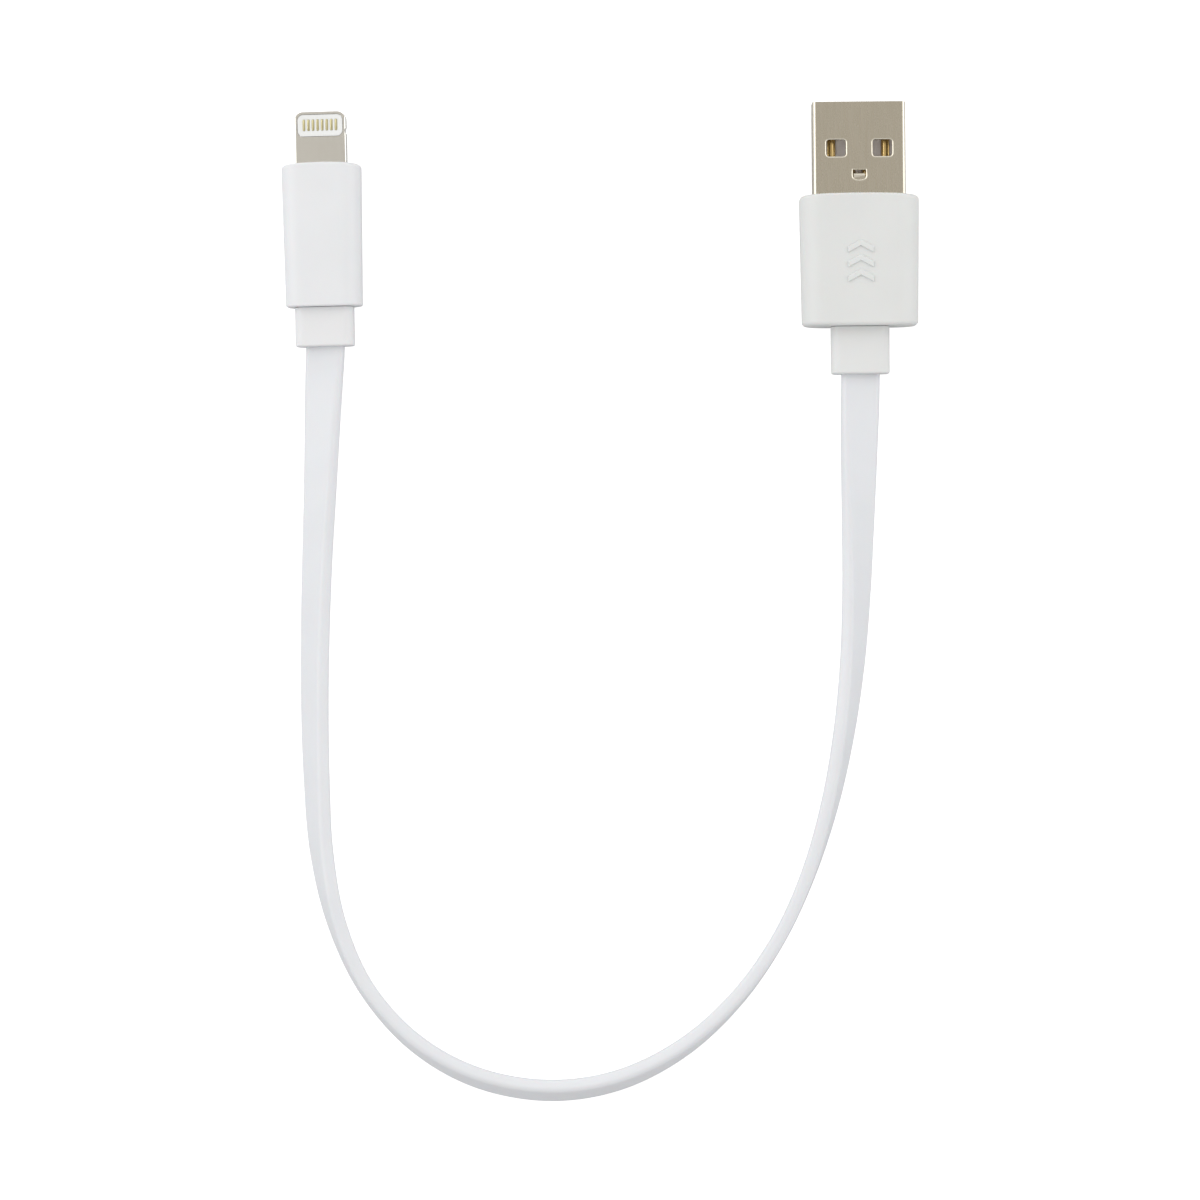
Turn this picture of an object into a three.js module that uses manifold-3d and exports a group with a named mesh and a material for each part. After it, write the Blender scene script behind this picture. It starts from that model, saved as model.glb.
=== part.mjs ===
// A short flat charging cable: a type A plug and an eight-contact plug, joined by a flat four-wire
// lead that leaves both plugs flat and stands on its edge round a U bend.
// Millimetres, +Z up. The cable lies on the plane z = 0, and the origin is on that plane, under the
// middle of the box round the two plugs. Both plugs point roughly along +Y.
import * as THREE from 'three';
import { mergeVertices } from 'three/addons/utils/BufferGeometryUtils.js';
import Module from 'manifold-3d';

const wasm = await Module();
wasm.setup();

// ---------------------------------------------------------------- driving dimensions

const FIT = 0.3; // clearance between neighbouring pieces
const SNUG = 0.12; // clearance of the small pieces set into one another
const OVERCUT = 1; // how far a cutter runs past the face it opens
const MERGE = 1e-5; // vertices closer than this are one vertex
const HAIR = 0.01; // keeps a round end just short of a half circle, so that no side has zero length

// How many straight steps stand for one curve.
const STEPS = { small: 3, tight: 5, wide: 8, notch: 24, housingPlan: 4, housingSection: 3 };

// Each plug has its own axes: y = 0 is the housing's front face, +y points to the nose, z = 0 is mid height.
const TYPE_A = {
  place: { x: 33.63, y: 5.69, z: 3.8, yaw: 0.53, roll: 0 },
  shell: { width: 12, height: 4.5, wall: 0.3, radius: 0.45, innerRadius: 0.25, front: 11.9, back: -6.5 },
  window: { width: 2.45, length: 2.1, radius: 0.35, x: 3, y: 5.9 },
  lock: { width: 1.65, front: 3.05, back: 1.85, bow: 0.5 },
  lockTab: { width: 1.45, front: 2.65, root: 0.22, drop: 0.38, thickness: 0.2 },
  tongue: { width: 11, top: -0.1, front: 11.4, base: 1.2, back: -6.2 },
  contact: { width: 1, thickness: 0.25, nose: 0.15, back: -8.4, tip: 0.5 },
  contacts: [
    { x: -3.5, front: 10.9 },
    { x: -1, front: 9.9 },
    { x: 1, front: 9.9 },
    { x: 3.5, front: 10.9 },
  ],
  housing: { front: 15.5, rear: 15.1, length: 17.1, height: 7.6, radius: 2.9, crown: 0.2, corner: 0.6 },
  rearWall: 2.7,
  cavity: { width: 12.6, height: 5.1, radius: 0.6 },
  mould: { width: 11.6, height: 4.3, radius: 0.5, front: -6.9, back: -12.2, slotWidth: 8.9, slotHeight: 2.4 },
  collar: {
    width: 7.55, height: 4, radius: 1.2, length: 5.9, flange: 9.6, flangeHeight: 4.4, flangeLength: 1.5,
  },
  neck: { width: 6.4, height: 3 },
  wireEnds: { y: -6.7, z: 0.7 },
};

const EIGHT_PIN = {
  place: { x: -36.24, y: 9.79, z: 3.15, yaw: 1.28, roll: -4 },
  tab: { width: 6.7, height: 1.5, front: 6.7, back: 0.1, corner: 1.15, softening: 0.18 },
  stem: { width: 6.5, height: 1.4, back: -2.1 },
  flange: { width: 8, height: 3, back: -3.6 },
  window: { width: 5.95, length: 2.9, radius: 0.8, y: 4.93 },
  notch: { radius: 0.75, depth: 0.14, y: 4.15 },
  boardSlot: { width: 5.3, height: 0.86 },
  pads: [-1.8, -0.6, 0.6, 1.8],
  board: { width: 5, height: 0.56, front: 6.05, back: -9.2 },
  plate: { bottom: 0.42, top: 0.74, gap: 0.05 },
  contact: { width: 0.3, length: 1.46, count: 8, pitch: 0.599, y: 4.98, top: 0.78, slotGap: 0.03 },
  chip: { width: 2.4, length: 2.6, height: 0.7, x: -0.6, y: -5.6 },
  capacitor: { width: 0.5, length: 1, height: 0.5, x: 1.6, y: -5.4 },
  housing: { front: 10.3, rear: 9.9, length: 18.65, height: 5.9, radius: 2.3, crown: 0.24, corner: 0.5 },
  rearWall: 2.7,
  frontWall: 1.8,
  cavity: { width: 8.6, height: 4, radius: 0.6 },
  mould: { width: 8, height: 3.7, radius: 0.5, front: -4, back: -14.1, slotWidth: 5.9, slotHeight: 2.9 },
  collar: {
    width: 7.6, height: 3.8, radius: 1.2, length: 4.85, flange: 8, flangeHeight: 3.4, flangeLength: 1.2,
  },
  neck: { width: 6.4, height: 2.8 },
  wireEnds: { y: -7.4, z: 0.9 },
};

// A raised mark on the type A housing's top: three chevrons, one behind another, that point to the nose.
const MARK = { count: 3, width: 3.4, rise: 0.9, bar: 0.75, pitch: 1.9, y: -8.9, depth: 0.22 };

const CABLE = {
  width: 5,
  thickness: 1.8,
  slotWidth: 4.1,
  slotHeight: 1.16,
  insertion: 4, // length of jacket inside each collar
  steps: 57,
};
// Each wire's tail runs straight out of the jacket (lead), spreads, and lies straight along its pad.
const WIRE = { radius: 0.38, pitch: 0.95, sides: 8, tailSteps: 7, lead: 0.8, padRun: 1.2 };
const WIRES = [
  { name: 'wire_red', colour: 0xb3231f },
  { name: 'wire_white', colour: 0xe8e8e4 },
  { name: 'wire_green', colour: 0x2f7d3a },
  { name: 'wire_black', colour: 0x1c1c1e },
];

// The cable's centre line from the type A collar to the eight-pin collar, as x, y, z and roll. Roll is
// how many degrees the edge towards the inside of the bend is lifted: 0 is flat, 90 is on edge.
const ROUTE = [
  [33.81, -13.6, 3.8, 0],
  [33.85, -17.6, 3.8, 2],
  [33.8, -22.2, 3.74, 12],
  [33.7, -27.2, 3.52, 24],
  [33.6, -36.5, 2.95, 42],
  [33.4, -46, 2.6, 54],
  [32.85, -55.45, 2.48, 63],
  [31.7, -64.8, 2.47, 71],
  [29.85, -73.9, 2.5, 78],
  [27.05, -82.9, 2.52, 84],
  [23.15, -91.3, 2.52, 85],
  [17.7, -99, 2.51, 81],
  [10.7, -105.35, 2.47, 75],
  [2.3, -109.55, 2.43, 70],
  [-6.85, -110.85, 2.41, 68],
  [-16.2, -109.1, 2.43, 70],
  [-24.25, -104.5, 2.47, 75],
  [-30.45, -97.5, 2.5, 79],
  [-34.3, -89.05, 2.48, 75],
  [-36.25, -79.85, 2.41, 66],
  [-36.9, -70.5, 2.36, 60],
  [-37.15, -61, 2.35, 56],
  [-37.1, -51.7, 2.36, 53],
  [-36.85, -42.3, 2.42, 49],
  [-36.45, -32.9, 2.58, 42],
  [-36.1, -23.4, 2.9, 29],
  [-35.9, -18.6, 3.06, 18],
  [-35.71, -14, 3.15, 6],
  [-35.8, -10, 3.15, 4],
];

const FINISHES = {
  shell: { color: 0xaaa294, roughness: 0.35, metalness: 1 },
  tab: { color: 0xc3bcb0, roughness: 0.3, metalness: 1 },
  gold: { color: 0xc79a4b, roughness: 0.3, metalness: 1 },
  housing: { color: 0xe4e4e2, roughness: 0.45, metalness: 0 },
  collar: { color: 0xe0e2e4, roughness: 0.55, metalness: 0 },
  jacket: { color: 0xe8eaee, roughness: 0.5, metalness: 0 },
  insulator: { color: 0xf0efeb, roughness: 0.5, metalness: 0 },
  mould: { color: 0xcfd0cc, roughness: 0.7, metalness: 0 },
  board: { color: 0x1f5a3a, roughness: 0.5, metalness: 0 },
  chip: { color: 0x222326, roughness: 0.5, metalness: 0 },
  ceramic: { color: 0xa98f6d, roughness: 0.6, metalness: 0 },
};

// ---------------------------------------------------------------- solids

function toSolid(geometry) {
  const bare = geometry.clone();
  bare.deleteAttribute('normal');
  bare.deleteAttribute('uv');
  const merged = mergeVertices(bare, MERGE);
  return new wasm.Manifold(new wasm.Mesh({
    numProp: 3,
    vertProperties: new Float32Array(merged.attributes.position.array),
    triVerts: new Uint32Array(merged.index.array),
  }));
}

function toGeometry(solid) {
  const { vertProperties, triVerts } = solid.getMesh();
  const geometry = new THREE.BufferGeometry();
  geometry.setAttribute('position', new THREE.BufferAttribute(vertProperties, 3));
  geometry.setIndex(new THREE.BufferAttribute(triVerts, 1));
  geometry.computeVertexNormals();
  return geometry;
}

function roundedRect(width, height, radius, x = 0, y = 0) {
  const [right, top] = [width / 2 - radius, height / 2 - radius];
  const shape = new THREE.Shape();
  shape.absarc(x + right, y + top, radius, 0, Math.PI / 2);
  shape.absarc(x - right, y + top, radius, Math.PI / 2, Math.PI);
  shape.absarc(x - right, y - top, radius, Math.PI, 1.5 * Math.PI);
  shape.absarc(x + right, y - top, radius, 1.5 * Math.PI, 2 * Math.PI);
  return shape;
}

// A section drawn in x and z, drawn out along y from back to front.
function alongY(shape, back, front, curveSegments = STEPS.small) {
  const geometry = new THREE.ExtrudeGeometry(
    shape, { depth: front - back, bevelEnabled: false, curveSegments });
  return toSolid(geometry.rotateX(Math.PI / 2).translate(0, front, 0));
}

// A side view drawn in y and z, drawn out along x and centred there.
function sideways(shape, width, x) {
  const geometry = new THREE.ExtrudeGeometry(shape, { depth: width, bevelEnabled: false });
  return toSolid(geometry.rotateX(Math.PI / 2).rotateZ(Math.PI / 2).translate(x - width / 2, 0, 0));
}

// An outline drawn in x and y, drawn out along z from bottom to top.
function alongZ(shape, bottom, top, curveSegments = STEPS.small) {
  const geometry = new THREE.ExtrudeGeometry(
    shape, { depth: top - bottom, bevelEnabled: false, curveSegments });
  return toSolid(geometry.translate(0, 0, bottom));
}

function box([x0, x1], [y0, y1], [z0, z1]) {
  const geometry = new THREE.BoxGeometry(x1 - x0, y1 - y0, z1 - z0);
  return toSolid(geometry.translate((x0 + x1) / 2, (y0 + y1) / 2, (z0 + z1) / 2));
}

function centredBox(width, [back, front], height) {
  return box([-width / 2, width / 2], [back, front], [-height / 2, height / 2]);
}

function cutAll(solid, cutters) {
  return cutters.reduce((left, cutter) => left.subtract(cutter), solid);
}

function addPiece(group, name, solid, finish) {
  const geometry = solid.isBufferGeometry ? solid : toGeometry(solid);
  const mesh = new THREE.Mesh(geometry, new THREE.MeshStandardMaterial(FINISHES[finish] ?? finish));
  mesh.name = name;
  group.add(mesh);
}

function plugGroup({ x, y, z, yaw, roll }) {
  const group = new THREE.Group();
  group.position.set(x, y, z);
  group.rotation.set(0, THREE.MathUtils.degToRad(roll), THREE.MathUtils.degToRad(yaw), 'ZYX');
  group.updateMatrixWorld();
  return group;
}

// ---------------------------------------------------------------- shared plug pieces

// Plan of a housing: a slightly bowed front face, sides that taper to the rear, and round corners.
function housingPlan({ front, rear, length, crown, corner }) {
  const shape = new THREE.Shape();
  const [f, r] = [front / 2, rear / 2];
  shape.moveTo(r - corner, -length);
  shape.quadraticCurveTo(r, -length, r, -length + corner);
  shape.lineTo(f, -crown - corner);
  shape.quadraticCurveTo(f, -crown, f - corner, -crown);
  shape.quadraticCurveTo(0, crown, corner - f, -crown);
  shape.quadraticCurveTo(-f, -crown, -f, -crown - corner);
  shape.lineTo(-r, -length + corner);
  shape.quadraticCurveTo(-r, -length, corner - r, -length);
  shape.closePath();
  return shape;
}

function housingBody(size) {
  const reach = size.height / 2 + OVERCUT;
  const plan = alongZ(housingPlan(size), -reach, reach, STEPS.housingPlan);
  const section = roundedRect(size.front, size.height, size.radius);
  return plan.intersect(alongY(section, -size.length - OVERCUT, OVERCUT, STEPS.housingSection));
}

// The strain relief: a sleeve behind the housing, a neck through its rear wall and a flange inside.
function collarBody({ collar, neck, housing, rearWall }) {
  const rear = -housing.length;
  const end = rear - FIT - collar.length;
  const inside = rear + rearWall + FIT;
  const sleeve = alongY(roundedRect(collar.width, collar.height, collar.radius), end, rear - FIT);
  const stem = centredBox(neck.width, [rear - OVERCUT, inside + OVERCUT], neck.height);
  const flange = centredBox(collar.flange, [inside, inside + collar.flangeLength], collar.flangeHeight);
  const jacketBore = roundedRect(CABLE.width + FIT, CABLE.thickness + FIT, (CABLE.thickness + FIT) / 2);
  const wireBore = roundedRect(CABLE.slotWidth, CABLE.slotHeight + SNUG, (CABLE.slotHeight + SNUG) / 2);
  const jacketStop = end + CABLE.insertion + FIT;
  return cutAll(sleeve.add(stem).add(flange), [
    alongY(jacketBore, end - OVERCUT, jacketStop),
    alongY(wireBore, end - OVERCUT, inside + collar.flangeLength + OVERCUT),
  ]);
}

function hollowHousing(plug) {
  const { housing, cavity, neck, rearWall } = plug;
  const inner = -housing.length + rearWall;
  const frontOpening = plug.frontWall ? -plug.frontWall : OVERCUT;
  return cutAll(housingBody(housing), [
    alongY(roundedRect(cavity.width, cavity.height, cavity.radius), inner, frontOpening),
    centredBox(neck.width + 2 * FIT, [-housing.length - OVERCUT, inner + OVERCUT], neck.height + 2 * FIT),
  ]);
}

function innerMould({ mould }) {
  const block = alongY(roundedRect(mould.width, mould.height, mould.radius), mould.back, mould.front);
  return block.subtract(
    centredBox(mould.slotWidth, [mould.back - OVERCUT, mould.front + OVERCUT], mould.slotHeight));
}

function chevrons(top) {
  const half = MARK.width / 2;
  return Array.from({ length: MARK.count }, (_, i) => i - (MARK.count - 1) / 2).map((place) => {
    const shape = new THREE.Shape([
      new THREE.Vector2(-half, 0),
      new THREE.Vector2(-half, -MARK.bar),
      new THREE.Vector2(0, MARK.rise - MARK.bar),
      new THREE.Vector2(half, -MARK.bar),
      new THREE.Vector2(half, 0),
      new THREE.Vector2(0, MARK.rise),
    ]);
    return alongZ(shape, top - MARK.depth, top + MARK.depth).translate([0, MARK.y + place * MARK.pitch, 0]);
  });
}

// ---------------------------------------------------------------- type A plug

function typeAShell({ shell, window: opening, lock, lockTab }) {
  const tube = roundedRect(shell.width, shell.height, shell.radius);
  const [innerWidth, innerHeight] = [shell.width - 2 * shell.wall, shell.height - 2 * shell.wall];
  tube.holes.push(roundedRect(innerWidth, innerHeight, shell.innerRadius));
  const through = shell.height / 2 + OVERCUT;
  const windows = [-opening.x, opening.x].map((x) => {
    const outline = roundedRect(opening.width, opening.length, opening.radius, x, opening.y);
    return alongZ(outline, -through, through, STEPS.tight);
  });
  const body = alongY(tube, shell.back, shell.front, STEPS.tight);
  return cutAll(body, [...windows, lockHole(lock, through)]).add(bentTab(shell, lock, lockTab));
}

// The hole that the socket's latch drops into, in the upper face only. Its front is square, its back bowed.
function lockHole({ width, front, back, bow }, top) {
  const half = width / 2;
  const shape = new THREE.Shape();
  shape.moveTo(half, front);
  shape.lineTo(-half, front);
  shape.lineTo(-half, back + bow);
  shape.quadraticCurveTo(-half, back, 0, back);
  shape.quadraticCurveTo(half, back, half, back + bow);
  shape.closePath();
  return alongZ(shape, 0, top, STEPS.wide);
}

// The tongue of sheet that was cut free in the hole and pushed down. It stays joined at the hole's back
// edge, runs level under the sheet for as long as the edge bows, then dips towards its free front end.
function bentTab({ height, wall }, { back, bow }, { width, front, root, drop, thickness }) {
  const top = height / 2;
  const side = new THREE.Shape([
    new THREE.Vector2(back - wall, top - wall),
    new THREE.Vector2(back, top - root - thickness),
    new THREE.Vector2(back + bow, top - root - thickness),
    new THREE.Vector2(front, top - drop - thickness),
    new THREE.Vector2(front, top - drop),
    new THREE.Vector2(back + bow, top - root),
    new THREE.Vector2(back - wall, top - root),
  ]);
  return sideways(side, width, 0);
}

function typeATongue({ shell, tongue, contact, contacts }) {
  const half = tongue.width / 2;
  const floor = -shell.height / 2 + shell.wall + SNUG;
  const blade = box([-half, half], [tongue.back, tongue.front], [floor, tongue.top]);
  const base = box([-half, half], [tongue.back, tongue.base], [floor, -floor]);
  const groove = contact.width / 2 + SNUG;
  return cutAll(blade.add(base), contacts.map(({ x, front }) => box(
    [x - groove, x + groove],
    [tongue.back - OVERCUT, front + SNUG],
    [-contact.thickness - SNUG, SNUG])));
}

// A flat strip with a sloping nose, bent from one plane of sheet.
function typeAContact({ contact }, { x, front }) {
  const side = new THREE.Shape([
    new THREE.Vector2(contact.back, -contact.thickness),
    new THREE.Vector2(front, -contact.thickness),
    new THREE.Vector2(front, -contact.nose),
    new THREE.Vector2(front - contact.tip, 0),
    new THREE.Vector2(contact.back, 0),
  ]);
  return sideways(side, contact.width, x);
}

function typeAPlug() {
  const plug = TYPE_A;
  const group = plugGroup(plug.place);
  addPiece(group, 'type_a_shell', typeAShell(plug), 'shell');
  addPiece(group, 'type_a_tongue', typeATongue(plug), 'insulator');
  plug.contacts.forEach((place, i) =>
    addPiece(group, `type_a_contact_${i + 1}`, typeAContact(plug, place), 'gold'));
  addPiece(group, 'type_a_inner_mould', innerMould(plug), 'mould');
  const marks = chevrons(plug.housing.height / 2);
  const housing = marks.reduce((body, mark) => body.add(mark), hollowHousing(plug));
  addPiece(group, 'type_a_housing', housing, 'housing');
  addPiece(group, 'type_a_collar', collarBody(plug), 'collar');
  return group;
}

// ---------------------------------------------------------------- eight-pin plug

// Plan of the metal tab: round front corners and a shallow round notch in each side.
function tabPlan({ width, front, back, corner }) {
  const half = width / 2;
  const shape = new THREE.Shape();
  shape.moveTo(half, back);
  shape.lineTo(half, front - corner);
  shape.absarc(half - corner, front - corner, corner, 0, Math.PI / 2);
  shape.absarc(corner - half, front - corner, corner, Math.PI / 2, Math.PI);
  shape.lineTo(-half, back);
  shape.closePath();
  return shape;
}

function notchCutter({ radius, depth, y }, x, height) {
  const cylinder = new THREE.CylinderGeometry(radius, radius, height, STEPS.notch).rotateX(Math.PI / 2);
  return toSolid(cylinder.translate(x + Math.sign(x) * (radius - depth), y, 0));
}

// The tab that shows, the slightly smaller stem that the housing grips, and the flange that stays inside.
function eightPinTab({ tab, stem, flange, window: opening, notch, boardSlot }) {
  const plan = alongZ(tabPlan(tab), -tab.height, tab.height, STEPS.wide);
  const section = roundedRect(tab.width, tab.height, tab.softening);
  const body = plan.intersect(alongY(section, tab.back - OVERCUT, tab.front + OVERCUT, STEPS.small))
    .add(centredBox(stem.width, [stem.back, tab.back], stem.height))
    .add(centredBox(flange.width, [flange.back, stem.back], flange.height));
  const windowPlan = roundedRect(opening.width, opening.length, opening.radius, 0, opening.y);
  return cutAll(body, [
    alongZ(windowPlan, -tab.height, tab.height, STEPS.tight),
    centredBox(boardSlot.width, [flange.back - OVERCUT, opening.y], boardSlot.height),
    notchCutter(notch, tab.width / 2, 2 * tab.height),
    notchCutter(notch, -tab.width / 2, 2 * tab.height),
  ]);
}

function contactOffsets({ count, pitch }) {
  return Array.from({ length: count }, (_, i) => (i - (count - 1) / 2) * pitch);
}

// side is +1 for the upper face of the tab and -1 for the lower one.
function eightPinPlate({ window: opening, plate, contact }, side) {
  const outline = roundedRect(
    opening.width - 2 * plate.gap, opening.length - 2 * plate.gap, opening.radius - plate.gap, 0, opening.y);
  const [slotWidth, slotLength] = [contact.width + 2 * contact.slotGap, contact.length + 2 * contact.slotGap];
  const slots = contactOffsets(contact).map((x) => alongZ(
    roundedRect(slotWidth, slotLength, slotWidth / 2 - HAIR, x, contact.y), -OVERCUT, OVERCUT));
  const solid = cutAll(alongZ(outline, plate.bottom, plate.top, STEPS.tight), slots);
  return side > 0 ? solid : solid.mirror([0, 0, 1]);
}

function eightPinContact({ contact, plate }, x, side) {
  const outline = roundedRect(contact.width, contact.length, contact.width / 2 - HAIR, x, contact.y);
  const solid = alongZ(outline, plate.bottom, contact.top);
  return side > 0 ? solid : solid.mirror([0, 0, 1]);
}

function componentOnBoard({ board }, { width, length, height, x, y }) {
  const bottom = board.height / 2 + SNUG;
  return box([x - width / 2, x + width / 2], [y - length / 2, y + length / 2], [bottom, bottom + height]);
}

function eightPinPlug() {
  const plug = EIGHT_PIN;
  const group = plugGroup(plug.place);
  addPiece(group, 'eight_pin_tab', eightPinTab(plug), 'tab');
  addPiece(group, 'eight_pin_board', centredBox(
    plug.board.width, [plug.board.back, plug.board.front], plug.board.height), 'board');
  for (const [face, side] of [['upper', 1], ['lower', -1]]) {
    addPiece(group, `eight_pin_${face}_plate`, eightPinPlate(plug, side), 'insulator');
    contactOffsets(plug.contact).forEach((x, i) =>
      addPiece(group, `eight_pin_${face}_contact_${i + 1}`, eightPinContact(plug, x, side), 'gold'));
  }
  addPiece(group, 'eight_pin_chip', componentOnBoard(plug, plug.chip), 'chip');
  addPiece(group, 'eight_pin_capacitor', componentOnBoard(plug, plug.capacitor), 'ceramic');
  addPiece(group, 'eight_pin_inner_mould', innerMould(plug), 'mould');
  const tabOpening = centredBox(plug.tab.width + 2 * FIT, [-OVERCUT - plug.frontWall, OVERCUT],
    plug.tab.height + 2 * FIT);
  addPiece(group, 'eight_pin_housing', hollowHousing(plug).subtract(tabOpening), 'housing');
  addPiece(group, 'eight_pin_collar', collarBody(plug), 'collar');
  return group;
}

// ---------------------------------------------------------------- flat cable

// A path whose cross-sections are given one by one: each has a centre, the direction of the section's
// x axis (across) and the direction of travel.
class SectionPath extends THREE.Curve {
  constructor(sections) {
    super();
    this.sections = sections;
  }

  getSpacedPoints() {
    return this.sections.map(({ centre }) => centre);
  }

  computeFrenetFrames() {
    const tangents = this.sections.map(({ tangent }) => tangent);
    const normals = this.sections.map(({ across }) => across);
    const binormals = normals.map((normal, i) => tangents[i].clone().cross(normal).normalize());
    return { tangents, normals, binormals };
  }
}

function drawAlong(shape, sections, curveSegments) {
  return new THREE.ExtrudeGeometry(shape, {
    extrudePath: new SectionPath(sections),
    steps: sections.length - 1,
    curveSegments,
  });
}

// The rolled cross-sections of the flat cable, evenly spaced from one collar to the other.
function cableSections() {
  const centreLine = new THREE.CatmullRomCurve3(
    ROUTE.map(([x, y, z]) => new THREE.Vector3(x, y, z)), false, 'catmullrom', 0.5);
  const rollLine = new THREE.SplineCurve(ROUTE.map(([, , , roll], i) => new THREE.Vector2(i, roll)));
  const up = new THREE.Vector3(0, 0, 1);
  return Array.from({ length: CABLE.steps + 1 }, (_, i) => {
    const t = centreLine.getUtoTmapping(i / CABLE.steps);
    const tangent = centreLine.getTangent(t);
    const inward = tangent.clone().cross(up).normalize();
    const roll = THREE.MathUtils.degToRad(rollLine.getPoint(t).y);
    const across = inward.applyAxisAngle(tangent, -roll);
    return { centre: centreLine.getPoint(t), tangent, across };
  });
}

function cableJacket(sections) {
  const outline = roundedRect(CABLE.width, CABLE.thickness, CABLE.thickness / 2 - HAIR);
  const slot = roundedRect(CABLE.slotWidth, CABLE.slotHeight, CABLE.slotHeight / 2 - HAIR);
  outline.holes.push(slot);
  return drawAlong(outline, sections, 1);
}

// One wire: a tail soldered in the type A plug, the run beside its neighbours in the jacket, and a
// tail on the eight-pin plug's board. The tails spread from the cable's pitch to the solder pads.
function wireCentres(sections, offset, headTail, footTail) {
  const run = sections.map(({ centre, across }) => centre.clone().addScaledVector(across, offset));
  const head = new THREE.CatmullRomCurve3([...headTail, run[0]], false, 'centripetal');
  const foot = new THREE.CatmullRomCurve3([run.at(-1), ...footTail], false, 'centripetal');
  return [...head.getPoints(WIRE.tailSteps).slice(0, -1), ...run, ...foot.getPoints(WIRE.tailSteps).slice(1)];
}

function levelSections(centres) {
  const up = new THREE.Vector3(0, 0, 1);
  return centres.map((centre, i) => {
    const [before, after] = [centres[Math.max(i - 1, 0)], centres[Math.min(i + 1, centres.length - 1)]];
    const tangent = after.clone().sub(before).normalize();
    return { centre, tangent, across: tangent.clone().cross(up).normalize() };
  });
}

// The points of one wire's tail, from its solder pad at x to the jacket's end.
function tailPoints(group, plug, x, offset) {
  const { y, z } = plug.wireEnds;
  const spreadStart = flangeFrontOf(plug) + SNUG;
  return [
    new THREE.Vector3(x, y, z),
    new THREE.Vector3(x, y - WIRE.padRun, z),
    new THREE.Vector3((x + offset) / 2, (y - WIRE.padRun + spreadStart) / 2, z / 2),
    new THREE.Vector3(offset, spreadStart, 0),
    new THREE.Vector3(offset, jacketEndOf(plug) + WIRE.lead, 0),
  ].map((point) => point.applyMatrix4(group.matrixWorld));
}

function flangeFrontOf({ housing, rearWall, collar }) {
  return -housing.length + rearWall + FIT + collar.flangeLength;
}

function jacketEndOf({ housing, collar }) {
  return -housing.length - FIT - collar.length + CABLE.insertion;
}

function flatCable(typeA, eightPin) {
  const group = new THREE.Group();
  const sections = cableSections();
  addPiece(group, 'cable_jacket', cableJacket(sections), 'jacket');
  WIRES.forEach(({ name, colour }, i) => {
    const offset = (i - (WIRES.length - 1) / 2) * WIRE.pitch;
    const head = tailPoints(typeA, TYPE_A, -TYPE_A.contacts[i].x, -offset);
    const foot = tailPoints(eightPin, EIGHT_PIN, EIGHT_PIN.pads[i], offset);
    const centres = wireCentres(sections, offset, head, foot.reverse());
    const circle = new THREE.Shape().absarc(0, 0, WIRE.radius, 0, 2 * Math.PI);
    const wire = drawAlong(circle, levelSections(centres), WIRE.sides / 2);
    addPiece(group, name, wire, { color: colour, roughness: 0.5, metalness: 0 });
  });
  return group;
}

// ---------------------------------------------------------------- whole cable

const typeA = typeAPlug();
const eightPin = eightPinPlug();
const chargingCable = new THREE.Group();
chargingCable.add(typeA, eightPin, flatCable(typeA, eightPin));

export default chargingCable;
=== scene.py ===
# %% [markdown]
# # A short flat charging cable
# Two plugs, a type A plug and an eight-contact plug, joined by a flat four-wire lead. The lead leaves
# both plugs flat and rolls on to its edge as it goes round a U bend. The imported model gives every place
# and size. This script makes the finely finished pieces that show, in the same frame.

# %% Load the frame
import math

import bmesh
import bpy
from mathutils import Matrix, Vector


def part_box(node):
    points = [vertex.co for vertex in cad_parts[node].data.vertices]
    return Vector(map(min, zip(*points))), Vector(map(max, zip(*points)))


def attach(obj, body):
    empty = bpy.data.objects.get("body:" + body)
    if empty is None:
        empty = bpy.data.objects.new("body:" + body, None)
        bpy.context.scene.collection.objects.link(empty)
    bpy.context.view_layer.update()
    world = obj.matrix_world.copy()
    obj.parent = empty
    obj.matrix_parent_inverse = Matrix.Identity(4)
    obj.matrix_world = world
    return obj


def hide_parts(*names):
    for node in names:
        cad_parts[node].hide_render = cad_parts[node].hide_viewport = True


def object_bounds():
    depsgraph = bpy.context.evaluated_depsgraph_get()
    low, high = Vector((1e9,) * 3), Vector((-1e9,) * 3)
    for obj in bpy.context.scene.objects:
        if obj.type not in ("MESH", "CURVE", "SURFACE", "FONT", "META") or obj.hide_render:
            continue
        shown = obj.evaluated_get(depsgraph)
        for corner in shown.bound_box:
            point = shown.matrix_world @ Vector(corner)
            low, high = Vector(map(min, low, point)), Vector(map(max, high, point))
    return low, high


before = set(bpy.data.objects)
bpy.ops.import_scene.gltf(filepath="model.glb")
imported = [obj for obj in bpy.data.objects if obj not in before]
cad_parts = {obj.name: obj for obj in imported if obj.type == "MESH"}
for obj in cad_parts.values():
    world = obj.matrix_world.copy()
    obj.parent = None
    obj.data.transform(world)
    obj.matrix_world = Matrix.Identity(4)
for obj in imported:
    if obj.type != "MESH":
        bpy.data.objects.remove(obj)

cad_low, cad_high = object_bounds()
MM = 0.001
UP = Vector((0, 0, 1))
scene = bpy.context.scene
print("nodes:", len(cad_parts), "size in mm:", [round(s / MM, 1) for s in cad_high - cad_low])

# %% [markdown]
# ## Camera
# The cable is seen from straight above, through a long lens, so that the plugs hardly lean outwards.
# The lens follows from the camera's height and the width of the table top that fills the picture.

# %% Camera
CAMERA_HEIGHT = 0.6
FIELD_WIDTH = 0.15696
AIM_Y = -0.04697

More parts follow.
